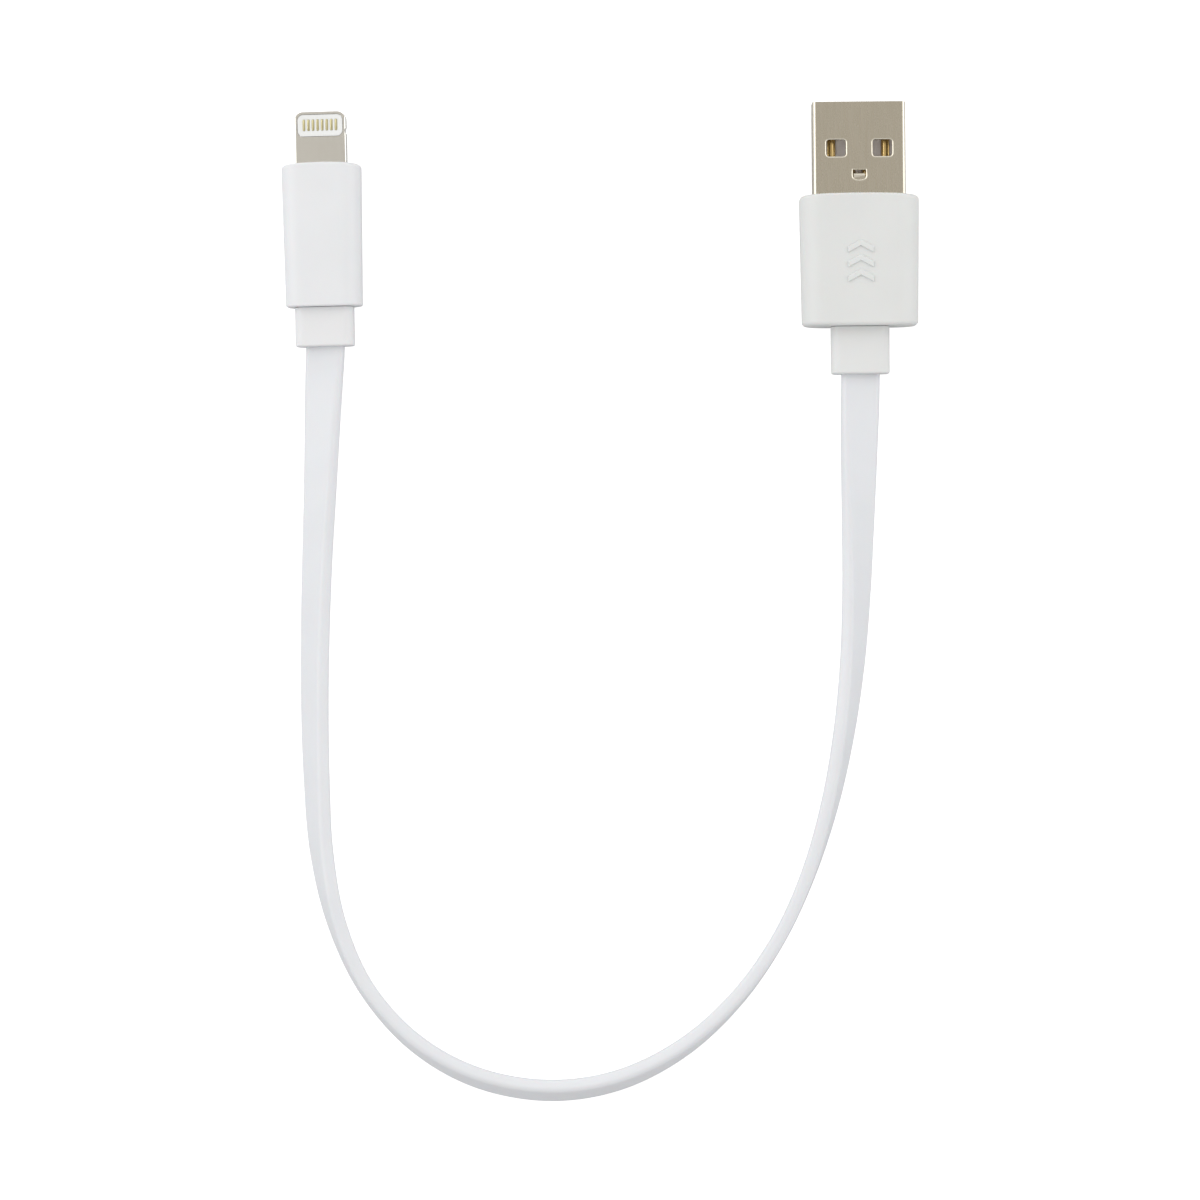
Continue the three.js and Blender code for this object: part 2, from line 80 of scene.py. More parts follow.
camera_data = bpy.data.cameras.new("camera")
camera_data.sensor_width = 36
camera_data.lens = camera_data.sensor_width * CAMERA_HEIGHT / FIELD_WIDTH
camera = bpy.data.objects.new("camera", camera_data)
camera.location = (0, AIM_Y, CAMERA_HEIGHT)
scene.collection.objects.link(camera)
scene.camera = camera
print("lens in mm:", round(camera_data.lens, 1))

# %% [markdown]
# ## Helpers that every piece uses
# A piece is modelled in plain millimetres on its plug's own axes, where y = 0 is the housing's front
# face, +y points to the nose and z = 0 is mid height. `settled` then turns it into metres and puts it
# in its plug's place. A curved surface keeps smooth shading, and only true edges are marked sharp.

# %% Helpers for meshes
SHARP_ANGLE = math.radians(38)


def only(kind, elements):
    """The elements of one kind, such as the vertices that an operator made."""
    return [element for element in elements if isinstance(element, kind)]


def settled(bm, place):
    bmesh.ops.transform(bm, matrix=place @ Matrix.Scale(MM, 4), verts=bm.verts)
    return bm


def piece(name, bm, finish, slot, nodes):
    """Closes a bmesh into an object that stands for CAD nodes and lies in the shared frame."""
    bmesh.ops.remove_doubles(bm, verts=bm.verts, dist=0.001 * MM)
    bmesh.ops.recalc_face_normals(bm, faces=bm.faces)
    open_edges = sum(not edge.is_manifold for edge in bm.edges)
    mesh = bpy.data.meshes.new(name)
    bm.to_mesh(mesh)
    bm.free()
    mesh.shade_smooth()
    mesh.set_sharp_from_angle(angle=SHARP_ANGLE)
    made = bpy.data.objects.new(name, mesh)
    scene.collection.objects.link(made)
    mesh.materials.append(finish)
    evened = made.modifiers.new("even shading", "WEIGHTED_NORMAL")
    evened.keep_sharp = True
    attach(made, "root")
    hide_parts(*nodes)
    print(f"{name}: {len(mesh.polygons)} faces, {open_edges} open edges")
    return made


def rounded_loop(bm, y, width, height, radius, steps):
    """A rounded rectangle of edges round the y axis."""
    known = set(bm.faces)
    corners = bmesh.ops.create_grid(bm, x_segments=1, y_segments=1, size=0.5)["verts"]
    bmesh.ops.rotate(bm, verts=corners, cent=(0, 0, 0), matrix=Matrix.Rotation(math.pi / 2, 3, "X"))
    bmesh.ops.scale(bm, verts=corners, vec=(width, 1, height))
    bmesh.ops.translate(bm, verts=corners, vec=(0, y, 0))
    bmesh.ops.bevel(
        bm, geom=corners, offset=radius, offset_type="OFFSET", segments=steps, profile=0.5,
        affect="VERTICES", material=-1)
    face = next(face for face in bm.faces if face not in known)
    edges = list(face.edges)
    bmesh.ops.delete(bm, geom=[face], context="FACES_ONLY")
    return edges


RING_SPREAD = 10


def loft(bm, sections, steps):
    """Joins rounded rectangles one after another, and the last to the first, into a closed body.

    The rings are joined while they stand well apart and only then move to their places, because two
    rings in one plane give the bridge no direction and it folds over."""
    loops = [rounded_loop(bm, i * RING_SPREAD, *size, steps) for i, (_, *size) in enumerate(sections)]
    for one, other in zip(loops, loops[1:] + loops[:1]):
        bmesh.ops.bridge_loops(bm, edges=one + other)
    for loop, (y, *_) in zip(loops, sections):
        for vert in {vert for edge in loop for vert in edge.verts}:
            vert.co.y = y


def soften(bm, width, steps, chosen=lambda edge: True, sharper_than=35, clamp=True):
    """Rounds the sharp edges that are chosen."""
    edges = [
        edge for edge in bm.edges
        if edge.is_manifold and edge.calc_face_angle() > math.radians(sharper_than) and chosen(edge)]
    bmesh.ops.bevel(
        bm, geom=edges, offset=width, offset_type="OFFSET", segments=steps, profile=0.5,
        affect="EDGES", material=-1, clamp_overlap=clamp)
    return len(edges)


# %% [markdown]
# ## Where the two plugs lie
# A node's box gives its plug's middle, because the shell and the board are both symmetrical about it.
# Both plugs are turned a little in the plane of the table, and the small one also leans 4 degrees.

# %% Plug frames
def plug_frame(node, middle_y, yaw, roll):
    low, high = (Vector(corner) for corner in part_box(node))
    turn = Matrix.Rotation(math.radians(yaw), 4, "Z") @ Matrix.Rotation(math.radians(roll), 4, "Y")
    origin = (low + high) / 2 - turn.to_3x3() @ Vector((0, middle_y * MM, 0))
    return Matrix.Translation(origin) @ turn


TYPE_A = plug_frame("type_a_shell", middle_y=2.7, yaw=0.53, roll=0)
EIGHT_PIN = plug_frame("eight_pin_board", middle_y=-1.575, yaw=1.28, roll=-4)
print("type A plug at", TYPE_A.translation, "eight-pin plug at", EIGHT_PIN.translation)

# %% [markdown]
# ## Shared finishes
# Most of the cable is moulded plastic: even in colour, with a very fine texture from the tool and a
# slow unevenness where the melt flowed. One node group makes both from noise, and each material gives
# it its own colour and grain. It hands out a colour, a roughness and a normal, and never a shader.

# %% Node helpers
def node_group(name, inputs, outputs):
    """A shader group with named sockets, and its input and output nodes."""
    tree = bpy.data.node_groups.new(name, "ShaderNodeTree")
    for label, kind, value in inputs:
        socket = tree.interface.new_socket(name=label, in_out="INPUT", socket_type=kind)
        if value is not None:
            socket.default_value = value
    for label, kind in outputs:
        tree.interface.new_socket(name=label, in_out="OUTPUT", socket_type=kind)
    return tree, tree.nodes.new("NodeGroupInput"), tree.nodes.new("NodeGroupOutput")


def add(tree, kind, links=(), values=(), **settings):
    """A node with its settings, its plain input values and the sockets that feed its inputs."""
    node = tree.nodes.new(kind)
    for label, value in settings.items():
        setattr(node, label, value)
    for label, value in dict(values).items():
        node.inputs[label].default_value = value
    for label, source in dict(links).items():
        tree.links.new(source, node.inputs[label])
    return node


def mixed(tree, factor, one, other):
    """The colour between two colours, each a socket or a plain value."""
    node = tree.nodes.new("ShaderNodeMix")
    node.data_type = "RGBA"
    for index, value in ((0, factor), (6, one), (7, other)):
        if isinstance(value, bpy.types.NodeSocket):
            tree.links.new(value, node.inputs[index])
        else:
            node.inputs[index].default_value = value
    return node.outputs[2]


def spread(tree, value, low, high, from_low=0.0, from_high=1.0):
    """A value stretched from one range to another."""
    node = add(tree, "ShaderNodeMapRange", {"Value": value}, {"From Min": from_low, "From Max": from_high})
    for label, limit in (("To Min", low), ("To Max", high)):
        if isinstance(limit, bpy.types.NodeSocket):
            tree.links.new(limit, node.inputs[label])
        else:
            node.inputs[label].default_value = limit
    return node.outputs["Result"]


# %% Moulded plastic group
moulded, given, made = node_group(
    "moulded skin",
    [("Place", "NodeSocketVector", None), ("Colour", "NodeSocketColor", (0.8, 0.8, 0.8, 1)),
     ("Shade", "NodeSocketColor", (0.7, 0.7, 0.7, 1)), ("Grain", "NodeSocketFloat", 9000),
     ("Depth", "NodeSocketFloat", 0.1), ("Dull", "NodeSocketFloat", 0.5)],
    [("Colour", "NodeSocketColor"), ("Roughness", "NodeSocketFloat"), ("Normal", "NodeSocketVector")])
grain = add(moulded, "ShaderNodeTexNoise", {"Vector": given.outputs["Place"], "Scale": given.outputs["Grain"]},
            {"Detail": 3, "Roughness": 0.6})
flow = add(moulded, "ShaderNodeTexNoise", {"Vector": given.outputs["Place"]}, {"Scale": 160, "Detail": 2})
specks = add(moulded, "ShaderNodeTexVoronoi", {"Vector": given.outputs["Place"]}, {"Scale": 700})
speck = spread(moulded, specks.outputs["Distance"], 0.25, 0, 0.03, 0.09)
clean = mixed(moulded, spread(moulded, flow.outputs["Fac"], 0, 1, 0.3, 0.7),
              given.outputs["Colour"], given.outputs["Shade"])
tone = mixed(moulded, speck, clean, given.outputs["Shade"])
dull = add(moulded, "ShaderNodeMath", {0: given.outputs["Dull"],
           1: spread(moulded, grain.outputs["Fac"], -0.06, 0.06, 0.3, 0.7)}, operation="ADD")
bump = add(moulded, "ShaderNodeBump", {"Height": grain.outputs["Fac"], "Strength": given.outputs["Depth"]},
           {"Distance": 0.00004})
moulded.links.new(tone, made.inputs["Colour"])
moulded.links.new(dull.outputs[0], made.inputs["Roughness"])
moulded.links.new(bump.outputs["Normal"], made.inputs["Normal"])
print("moulded skin:", len(moulded.nodes), "nodes")

# %% [markdown]
# The metal is sheet steel with a nickel plating. Rolling leaves fine lines in one direction, and the
# plating is slightly cloudy. A second group makes the lines from noise that is drawn out along the
# plug, the cloudiness from broad noise, and adds the small rubs that plugging in leaves on the edges.

# %% Plated metal group
plated, given, made = node_group(
    "plated metal",
    [("Place", "NodeSocketVector", None), ("Colour", "NodeSocketColor", (0.7, 0.7, 0.7, 1)),
     ("Worn", "NodeSocketColor", (0.8, 0.8, 0.8, 1)), ("Lines", "NodeSocketVector", (9000, 500, 9000)),
     ("Depth", "NodeSocketFloat", 0.1), ("Dull", "NodeSocketFloat", 0.3)],
    [("Colour", "NodeSocketColor"), ("Roughness", "NodeSocketFloat"), ("Normal", "NodeSocketVector")])
drawn_out = add(plated, "ShaderNodeMapping", {"Vector": given.outputs["Place"], "Scale": given.outputs["Lines"]})
lines = add(plated, "ShaderNodeTexNoise", {"Vector": drawn_out.outputs["Vector"]},
            {"Scale": 1, "Detail": 4, "Roughness": 0.65})
clouds = add(plated, "ShaderNodeTexNoise", {"Vector": given.outputs["Place"]},
             {"Scale": 420, "Detail": 5, "Roughness": 0.6})
round_edge = add(plated, "ShaderNodeBevel", values={"Radius": 0.00025}, samples=4)
face = add(plated, "ShaderNodeNewGeometry")
bent = add(plated, "ShaderNodeVectorMath",
           {0: round_edge.outputs["Normal"], 1: face.outputs["Normal"]}, operation="DOT_PRODUCT")
edge = spread(plated, bent.outputs["Value"], 1, 0, 0.8, 0.99)
rub = add(plated, "ShaderNodeMath", {0: edge, 1: clouds.outputs["Fac"]}, operation="MULTIPLY")
base = mixed(plated, spread(plated, clouds.outputs["Fac"], 0, 0.35, 0.35, 0.7),
             given.outputs["Colour"], given.outputs["Worn"])
tone = mixed(plated, rub.outputs[0], base, given.outputs["Worn"])
dull = add(plated, "ShaderNodeMath", {0: given.outputs["Dull"],
           1: spread(plated, lines.outputs["Fac"], -0.015, 0.02, 0.3, 0.7)}, operation="ADD")
bump = add(plated, "ShaderNodeBump", {"Height": lines.outputs["Fac"], "Strength": given.outputs["Depth"]},
           {"Distance": 0.00002})
plated.links.new(tone, made.inputs["Colour"])
plated.links.new(dull.outputs[0], made.inputs["Roughness"])
plated.links.new(bump.outputs["Normal"], made.inputs["Normal"])
print("plated metal:", len(plated.nodes), "nodes")


# %% Material builder
def finish(name, group, inputs, place="Object", **sockets):
    """A Principled material fed by one of the groups. sockets are its plain values."""
    material = bpy.data.materials.new(name)
    material.use_nodes = True
    tree = material.node_tree
    shader = tree.nodes["Principled BSDF"]
    if place == "Object":
        where = add(tree, "ShaderNodeTexCoord").outputs["Object"]
    else:
        where = add(tree, "ShaderNodeAttribute", attribute_name=place).outputs["Vector"]
    skin = add(tree, "ShaderNodeGroup", node_tree=group)
    tree.links.new(where, skin.inputs["Place"])
    for label, value in inputs.items():
        skin.inputs[label].default_value = value
    tree.links.new(skin.outputs["Colour"], shader.inputs["Base Color"])
    tree.links.new(skin.outputs["Roughness"], shader.inputs["Roughness"])
    tree.links.new(skin.outputs["Normal"], shader.inputs["Normal"])
    for label, value in sockets.items():
        shader.inputs[label.replace("_", " ")].default_value = value
    return material


def tint(red, green, blue):
    return (red, green, blue, 1)


# %% [markdown]
# ## The flat jacket
# The jacket is extruded thermoplastic rubber, 5 mm wide and 1.8 mm thick, round the four wires. It is
# made the way the extruder makes it: one outline drawn along the cable's route. The route is the same
# list of points, in metres, as in the CAD source, with the roll of the outline in degrees. The wires'
# channel is a second outline inside the first, and the two are joined at both ends.
#
# The finish follows the cable, so each vertex carries its place across, through and along the jacket.

# %% Route
ROUTE = [Vector(point) for point in (
    (0.03381, -0.0136, 0.0038, 0), (0.03385, -0.0176, 0.0038, 2), (0.0338, -0.0222, 0.00374, 12),
    (0.0337, -0.0272, 0.00352, 24), (0.0336, -0.0365, 0.00295, 42), (0.0334, -0.046, 0.0026, 54),
    (0.03285, -0.05545, 0.00248, 63), (0.0317, -0.0648, 0.00247, 71), (0.02985, -0.0739, 0.0025, 78),
    (0.02705, -0.0829, 0.00252, 84), (0.02315, -0.0913, 0.00252, 85), (0.0177, -0.099, 0.00251, 81),
    (0.0107, -0.10535, 0.00247, 75), (0.0023, -0.10955, 0.00243, 70), (-0.00685, -0.11085, 0.00241, 68),
    (-0.0162, -0.1091, 0.00243, 70), (-0.02425, -0.1045, 0.00247, 75), (-0.03045, -0.0975, 0.0025, 79),
    (-0.0343, -0.08905, 0.00248, 75), (-0.03625, -0.07985, 0.00241, 66), (-0.0369, -0.0705, 0.00236, 60),
    (-0.03715, -0.061, 0.00235, 56), (-0.0371, -0.0517, 0.00236, 53), (-0.03685, -0.0423, 0.00242, 49),
    (-0.03645, -0.0329, 0.00258, 42), (-0.0361, -0.0234, 0.0029, 29), (-0.0359, -0.0186, 0.00306, 18),
    (-0.03571, -0.014, 0.00315, 6), (-0.0358, -0.01, 0.00315, 4))]
RINGS_PER_STRETCH = 14
STRETCHES = len(ROUTE) - 1


def on_route(t):
    """The point and roll at t, counted in stretches, on the smooth curve through the route's points."""
    i = min(int(t), STRETCHES - 1)
    u = t - i
    b, c = ROUTE[i], ROUTE[i + 1]
    a = ROUTE[i - 1] if i else 2 * b - c
    d = ROUTE[i + 2] if i + 2 <= STRETCHES else 2 * c - b
    return b + 0.5 * u * ((c - a) + u * ((2 * a - 5 * b + 4 * c - d) + u * (3 * (b - c) + d - a)))


def jacket_frame(t):
    """Axes of the jacket's outline at t: x across it towards the inside of the bend, y along it."""
    nearby = 0.01
    here = on_route(t)
    along = (on_route(min(t + nearby, STRETCHES)) - on_route(max(t - nearby, 0))).xyz.normalized()
    across = Matrix.Rotation(-math.radians(here.w), 3, along) @ along.cross(UP).normalized()
    axes = Matrix((across, along, across.cross(along))).transposed().to_4x4()
    return Matrix.Translation(here.xyz) @ axes


frames = [jacket_frame(i / RINGS_PER_STRETCH) for i in range(STRETCHES * RINGS_PER_STRETCH + 1)]
centres = [ring.translation for ring in frames]
lengths = [0.0]
for one, other in zip(centres, centres[1:]):
    lengths.append(lengths[-1] + (other - one).length)
print("rings:", len(frames), "jacket length in mm:", round(lengths[-1] / MM, 1))

# %% Jacket
JACKET = {"width": 5.0, "thickness": 1.8, "radius": 0.66}
CHANNEL = {"width": 4.1, "thickness": 1.16, "radius": 0.57}


def drawn_along(bm, edges, layer):
    """Extrudes an outline from ring to ring along the route and returns the outline at the far end."""
    ring = {vert for edge in edges for vert in edge.verts}
    for vert in ring:
        vert[layer] = (vert.co.x, vert.co.z, 0)
    bmesh.ops.transform(bm, matrix=frames[0], verts=list(ring))
    for before, after, length in zip(frames, frames[1:], lengths[1:]):
        grown = bmesh.ops.extrude_edge_only(bm, edges=edges)["geom"]
        edges = only(bmesh.types.BMEdge, grown)
        ring = only(bmesh.types.BMVert, grown)
        bmesh.ops.transform(bm, matrix=after @ before.inverted(), verts=ring)
        for vert in ring:
            vert[layer].z = length
    return edges


def jacket_outline(bm, size, steps):
    return rounded_loop(bm, 0, size["width"] * MM, size["thickness"] * MM, size["radius"] * MM, steps)


jacket_white = finish(
    "jacket_white", moulded,
    {"Colour": tint(0.71, 0.724, 0.748), "Shade": tint(0.695, 0.709, 0.733), "Grain": 5200, "Depth": 0.10,
     "Dull": 0.46}, place="cable_place", IOR=1.48, Subsurface_Weight=0.06, Subsurface_Scale=0.001)
bm = bmesh.new()
cable_place = bm.verts.layers.float_vector.new("cable_place")
for size, steps in ((JACKET, 6), (CHANNEL, 4)):
    start = jacket_outline(bm, size, steps)
    end = drawn_along(bm, start, cable_place)
    if size is JACKET:
        outer = start, end
for outside, inside in zip(outer, (start, end)):
    bmesh.ops.triangle_fill(bm, edges=outside + inside, use_beauty=True)
jacket = piece("flat_jacket", bm, jacket_white, "jacket", ["cable_jacket"])

# %% [markdown]
# ## The two housings
# Each housing is injection moulded: a broad flat top and bottom, full round sides, a front face that
# bows out a little, and small radii where the tool's halves end. A box with rounded corners could be
# bevelled, but then every corner would get the same radius. A loft of rounded rectangles gives the
# plan's corner radius, the section's radius and the small edge radius their own values, and it runs on
# through the front opening, round the cavity and out at the back, so the housing is a true hollow part.

# %% Housing builder
HOUSING_A = {
    "front": 15.5, "rear": 15.1, "length": 17.1, "height": 7.6, "radius": 2.9, "crown": 0.2, "corner": 0.6,
    "rear_corner": 0.6, "rear_edge": 0.42,
    "opening": (12.12, 4.62, 0.51), "cavity": (12.6, 5.1, 0.7), "neck": (7.0, 3.6, 0.6), "rear_wall": 2.7,
    "front_wall": 1.8}
HOUSING_8 = {
    "front": 10.3, "rear": 9.9, "length": 18.65, "height": 5.9, "radius": 2.3, "crown": 0.24, "corner": 0.5,
    "rear_corner": 0.3, "rear_edge": 0.22,
    "opening": (6.82, 1.62, 0.2), "cavity": (8.6, 4.0, 0.6), "neck": (7.0, 3.4, 0.6), "rear_wall": 2.7,
    "front_wall": 1.8}
FRONT_EDGE = 0.26
ROUND_STEPS = 9
BOW_CUTS = 13


def edge_rings(edge, corner):
    """(depth, inset in height, inset in half width) of the rings round one end of a housing."""
    depths = [edge * (1 - math.sin(math.radians(angle))) for angle in (90, 67, 45, 22)]
    depths += [edge + share * max(corner - edge, 0.05) for share in (0, 0.2, 0.4, 0.7, 1)]
    depths += [depths[-1] + 0.08, depths[-1] + 0.6]
    for depth in depths:
        over = max(edge - depth, 0)
        narrow = max(corner - depth, 0)
        yield depth, edge - math.sqrt(edge**2 - over**2), corner - math.sqrt(corner**2 - narrow**2)


def housing_sections(size):
    """Rings from the front edge back along the outside, then forward again through the inside."""
    length, height, radius = size["length"], size["height"], size["radius"]
    half_front, half_rear = size["front"] / 2, size["rear"] / 2
    outside = []
    for depth, lower, narrower in edge_rings(FRONT_EDGE, size["corner"]):
        outside.append((-depth, 2 * (half_front - narrower), height - 2 * lower, radius - lower))
    back = []
    for depth, lower, narrower in edge_rings(size["rear_edge"], size["rear_corner"]):
        back.append((depth - length, 2 * (half_rear - narrower), height - 2 * lower, radius - lower))
    inner = size["rear_wall"] - length
    inside = [
        (-length, *size["neck"]), (inner, *size["neck"]), (inner, *size["cavity"]),
        (-size["front_wall"], *size["cavity"]), (-size["front_wall"], *size["opening"]), (0, *size["opening"])]
    return outside + back[::-1] + inside


def bowed(bm, size):
    """Cuts the flat sides into strips and bows the front face, most in the middle."""
    flat = [edge for edge in bm.edges if abs(edge.verts[0].co.x - edge.verts[1].co.x) > 2]
    bmesh.ops.subdivide_edges(bm, edges=flat, cuts=BOW_CUTS, use_grid_fill=True)
    reach = size["front"] / 2 - size["corner"] / 2
    for vert in bm.verts:
        if vert.co.y > -size["corner"] - 0.7:
            vert.co.y -= size["crown"] * min(abs(vert.co.x) / reach, 1) ** 2


def housing_mesh(size):
    bm = bmesh.new()
    loft(bm, housing_sections(size), ROUND_STEPS)
    bowed(bm, size)
    return bm


# %% [markdown]
# The type A housing carries a small raised mark so that a thumb can tell the top: three chevrons. A
# strip of two faces with its middle pushed forward is a chevron, extruded and softened like the tool's.

# %% Type A housing
MARK = {"count": 3, "width": 3.4, "rise": 0.9, "bar": 0.75, "pitch": 1.9, "y": -8.9, "height": 0.2}


def chevron(bm, y, top):
    verts = bmesh.ops.create_grid(bm, x_segments=2, y_segments=1, size=0.5)["verts"]
    bmesh.ops.scale(bm, verts=verts, vec=(MARK["width"], MARK["bar"], 1))
    bmesh.ops.translate(bm, verts=verts, vec=(0, y - MARK["bar"] / 2, top - MARK["height"]))
    middle = [vert for vert in verts if abs(vert.co.x) < 0.01]
    bmesh.ops.translate(bm, verts=middle, vec=(0, MARK["rise"], 0))
    faces = list({face for vert in verts for face in vert.link_faces})
    raised = only(bmesh.types.BMVert, bmesh.ops.extrude_face_region(bm, geom=faces)["geom"])
    bmesh.ops.translate(bm, verts=raised, vec=(0, 0, 2 * MARK["height"]))
    bmesh.ops.scale(bm, verts=raised, vec=(0.97, 1, 1))
    return [edge for edge in bm.edges if all(vert in raised for vert in edge.verts)]


housing_white = finish(
    "housing_white", moulded,
    {"Colour": tint(0.68, 0.692, 0.682), "Shade": tint(0.665, 0.677, 0.667), "Grain": 6500, "Depth": 0.16,
     "Dull": 0.5}, IOR=1.5, Subsurface_Weight=0.05, Subsurface_Scale=0.001)
bm = housing_mesh(HOUSING_A)
rims = []
for i in range(MARK["count"]):
    rims += chevron(bm, MARK["y"] + (i - 1) * MARK["pitch"], HOUSING_A["height"] / 2)
rims = [edge for edge in rims if edge.is_valid and edge.calc_face_angle() > 1]
bmesh.ops.bevel(bm, geom=rims, offset=0.07, offset_type="OFFSET", segments=3, profile=0.5,
                affect="EDGES", material=-1)
piece("type_a_case", settled(bm, TYPE_A), housing_white, "housing", ["type_a_housing"])

# %% Eight-pin housing
housing_cool = finish(
    "housing_cool_white", moulded,
    {"Colour": tint(0.73, 0.742, 0.757), "Shade": tint(0.715, 0.727, 0.742), "Grain": 6500, "Depth": 0.16,
     "Dull": 0.48}, IOR=1.5, Subsurface_Weight=0.05, Subsurface_Scale=0.001)
piece("eight_pin_case", settled(housing_mesh(HOUSING_8), EIGHT_PIN), housing_cool, "housing",
      ["eight_pin_housing"])

# %% [markdown]
# ## The strain reliefs
# A collar is moulded round the lead: a sleeve that shows, a neck through the housing's rear wall and a
# flange that can't pull out. It is the same kind of loft as the housings, from the flange back along
# the outside and forward again through the bore, which holds the jacket and then only the wires.

# %% Collars
COLLAR_A = {
    "width": 7.55, "height": 4.0, "radius": 1.2, "length": 5.9, "neck": (6.4, 3.0, 0.5),
    "flange": (9.6, 4.4, 0.5), "flange_length": 1.5}
COLLAR_8 = {
    "width": 7.6, "height": 3.8, "radius": 1.2, "length": 4.85, "neck": (6.4, 2.8, 0.5),
    "flange": (8.0, 3.4, 0.5), "flange_length": 1.2}
JACKET_BORE = (5.14, 1.98, 0.72)
WIRE_BORE = (4.1, 1.28, 0.6)
COLLAR_GAP = 0.05
COLLAR_EDGE = 0.26
CAD_GAP = 0.3
INSERTION = 4.3


def collar_mesh(collar, housing):
    rear = -housing["length"]
    shoulder, end = rear - COLLAR_GAP, rear - CAD_GAP - collar["length"]
    inside = rear + housing["rear_wall"] + CAD_GAP
    front = inside + collar["flange_length"]
    sections = [
        (front, *collar["flange"]), (inside, *collar["flange"]), (inside, *collar["neck"]),
        (shoulder, *collar["neck"])]
    for angle in (90, 45, 0):
        inset = 0.1 * (1 - math.cos(math.radians(angle)))
        y = shoulder - 0.1 * (1 - math.sin(math.radians(angle)))
        sections.append((y, collar["width"] - 2 * inset, collar["height"] - 2 * inset, collar["radius"] - inset))
    for angle in (0, 22, 45, 67, 90):
        inset = COLLAR_EDGE * (1 - math.cos(math.radians(angle)))
        y = end + COLLAR_EDGE * (1 - math.sin(math.radians(angle)))
        sections.append((y, collar["width"] - 2 * inset, collar["height"] - 2 * inset, collar["radius"] - inset))
    sections += [
        (end, *JACKET_BORE), (end + INSERTION, *JACKET_BORE), (end + INSERTION, *WIRE_BORE),
        (front, *WIRE_BORE)]
    bm = bmesh.new()
    loft(bm, sections, ROUND_STEPS)
    return bm


collar_white = finish(
    "collar_white", moulded,
    {"Colour": tint(0.705, 0.715, 0.71), "Shade": tint(0.69, 0.70, 0.695), "Grain": 5200, "Depth": 0.14,
     "Dull": 0.52}, IOR=1.48, Subsurface_Weight=0.05, Subsurface_Scale=0.001)
collar_cool = finish(
    "collar_cool_white", moulded,
    {"Colour": tint(0.735, 0.74, 0.75), "Shade": tint(0.72, 0.725, 0.735), "Grain": 5200, "Depth": 0.14,
     "Dull": 0.52}, IOR=1.48, Subsurface_Weight=0.05, Subsurface_Scale=0.001)
piece("type_a_sleeve", settled(collar_mesh(COLLAR_A, HOUSING_A), TYPE_A), collar_white, "collar",
      ["type_a_collar"])
piece("eight_pin_sleeve", settled(collar_mesh(COLLAR_8, HOUSING_8), EIGHT_PIN), collar_cool, "collar",
      ["eight_pin_collar"])

# %% [markdown]
# ## Stamped, plated and turned pieces
# The CAD shapes of the metal parts and of the small mouldings are right, but their edges are knife
# sharp. Real stamping and moulding leave a radius on every edge, and it is that radius that catches the
# light. So each gets a merged copy of its CAD mesh: flat facets are dissolved into whole faces, and
# then its edges are bevelled.

# %% Copy helper
def merged_copy(node, place, whole_faces=True):
    """A CAD piece's merged copy, in millimetres on its plug's axes."""
    bm = bmesh.new()
    bm.from_mesh(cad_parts[node].data)
    bmesh.ops.transform(bm, matrix=(place @ Matrix.Scale(MM, 4)).inverted(), verts=bm.verts)
    bmesh.ops.remove_doubles(bm, verts=bm.verts, dist=0.004)
    if whole_faces:
        bmesh.ops.dissolve_limit(bm, angle_limit=math.radians(1.5), verts=bm.verts, edges=bm.edges)
    return bm


def softened(name, node, place, material, slot, width, steps=2):
    bm = merged_copy(node, place)
    soften(bm, width, steps)
    return piece(name, settled(bm, place), material, slot, [node])


# %% [markdown]
# ## The type A shell
# The shell is one strip of 0.3 mm sheet, folded round into a tube. Its two windows and the latch hole
# are punched from outside, which rolls their edges in: the wide bright rims round them. The edges on
# the outer face in that region get a wide bevel, and all the others a narrow one.

# %% Type A shell
steel = finish(
    "shell_steel", plated,
    {"Colour": tint(0.725, 0.68, 0.575), "Worn": tint(0.735, 0.692, 0.59), "Lines": (2600, 240, 2600),
     "Depth": 0.015, "Dull": 0.27}, Metallic=1.0)
SHELL_TOP = 2.25


def is_punched_rim(edge):
    """An edge of a window or of the latch hole, on the shell's outer faces."""
    return all(
        abs(abs(vert.co.z) - SHELL_TOP) < 0.02 and abs(vert.co.x) < 5 and 1 < vert.co.y < 8
        for vert in edge.verts)


bm = merged_copy("type_a_shell", TYPE_A)
rolled = soften(bm, 0.24, 4, is_punched_rim, clamp=False)
others = soften(bm, 0.07, 2, lambda edge: not is_punched_rim(edge), sharper_than=50)
print("rolled edges:", rolled, "other edges:", others)
piece("type_a_shell_folded", settled(bm, TYPE_A), steel, "shell", ["type_a_shell"])

# %% Type A tongue and contacts
tongue_white = finish(
    "tongue_white", moulded,
    {"Colour": tint(0.88, 0.84, 0.84), "Shade": tint(0.84, 0.80, 0.80), "Grain": 7000, "Depth": 0.1,
     "Dull": 0.4}, IOR=1.52)
gold = finish(
    "gold_plate", plated,
    {"Colour": tint(0.86, 0.62, 0.25), "Worn": tint(0.92, 0.74, 0.42), "Lines": (3000, 300, 3000),
     "Depth": 0.01, "Dull": 0.2}, Metallic=1.0)


def crowned(bm, middle, half, drop):
    """Bow a strip's level top face down towards its two long edges."""
    for share in (-0.8, -0.6, -0.4, -0.2, 0, 0.2, 0.4, 0.6, 0.8):
        geometry = bm.verts[:] + bm.edges[:] + bm.faces[:]
        bmesh.ops.bisect_plane(
            bm, geom=geometry, plane_co=(middle + share * half, 0, 0), plane_no=(1, 0, 0))
    for vert in bm.verts:
        if vert.co.z > -0.01:
            vert.co.z -= drop * ((vert.co.x - middle) / half) ** 2


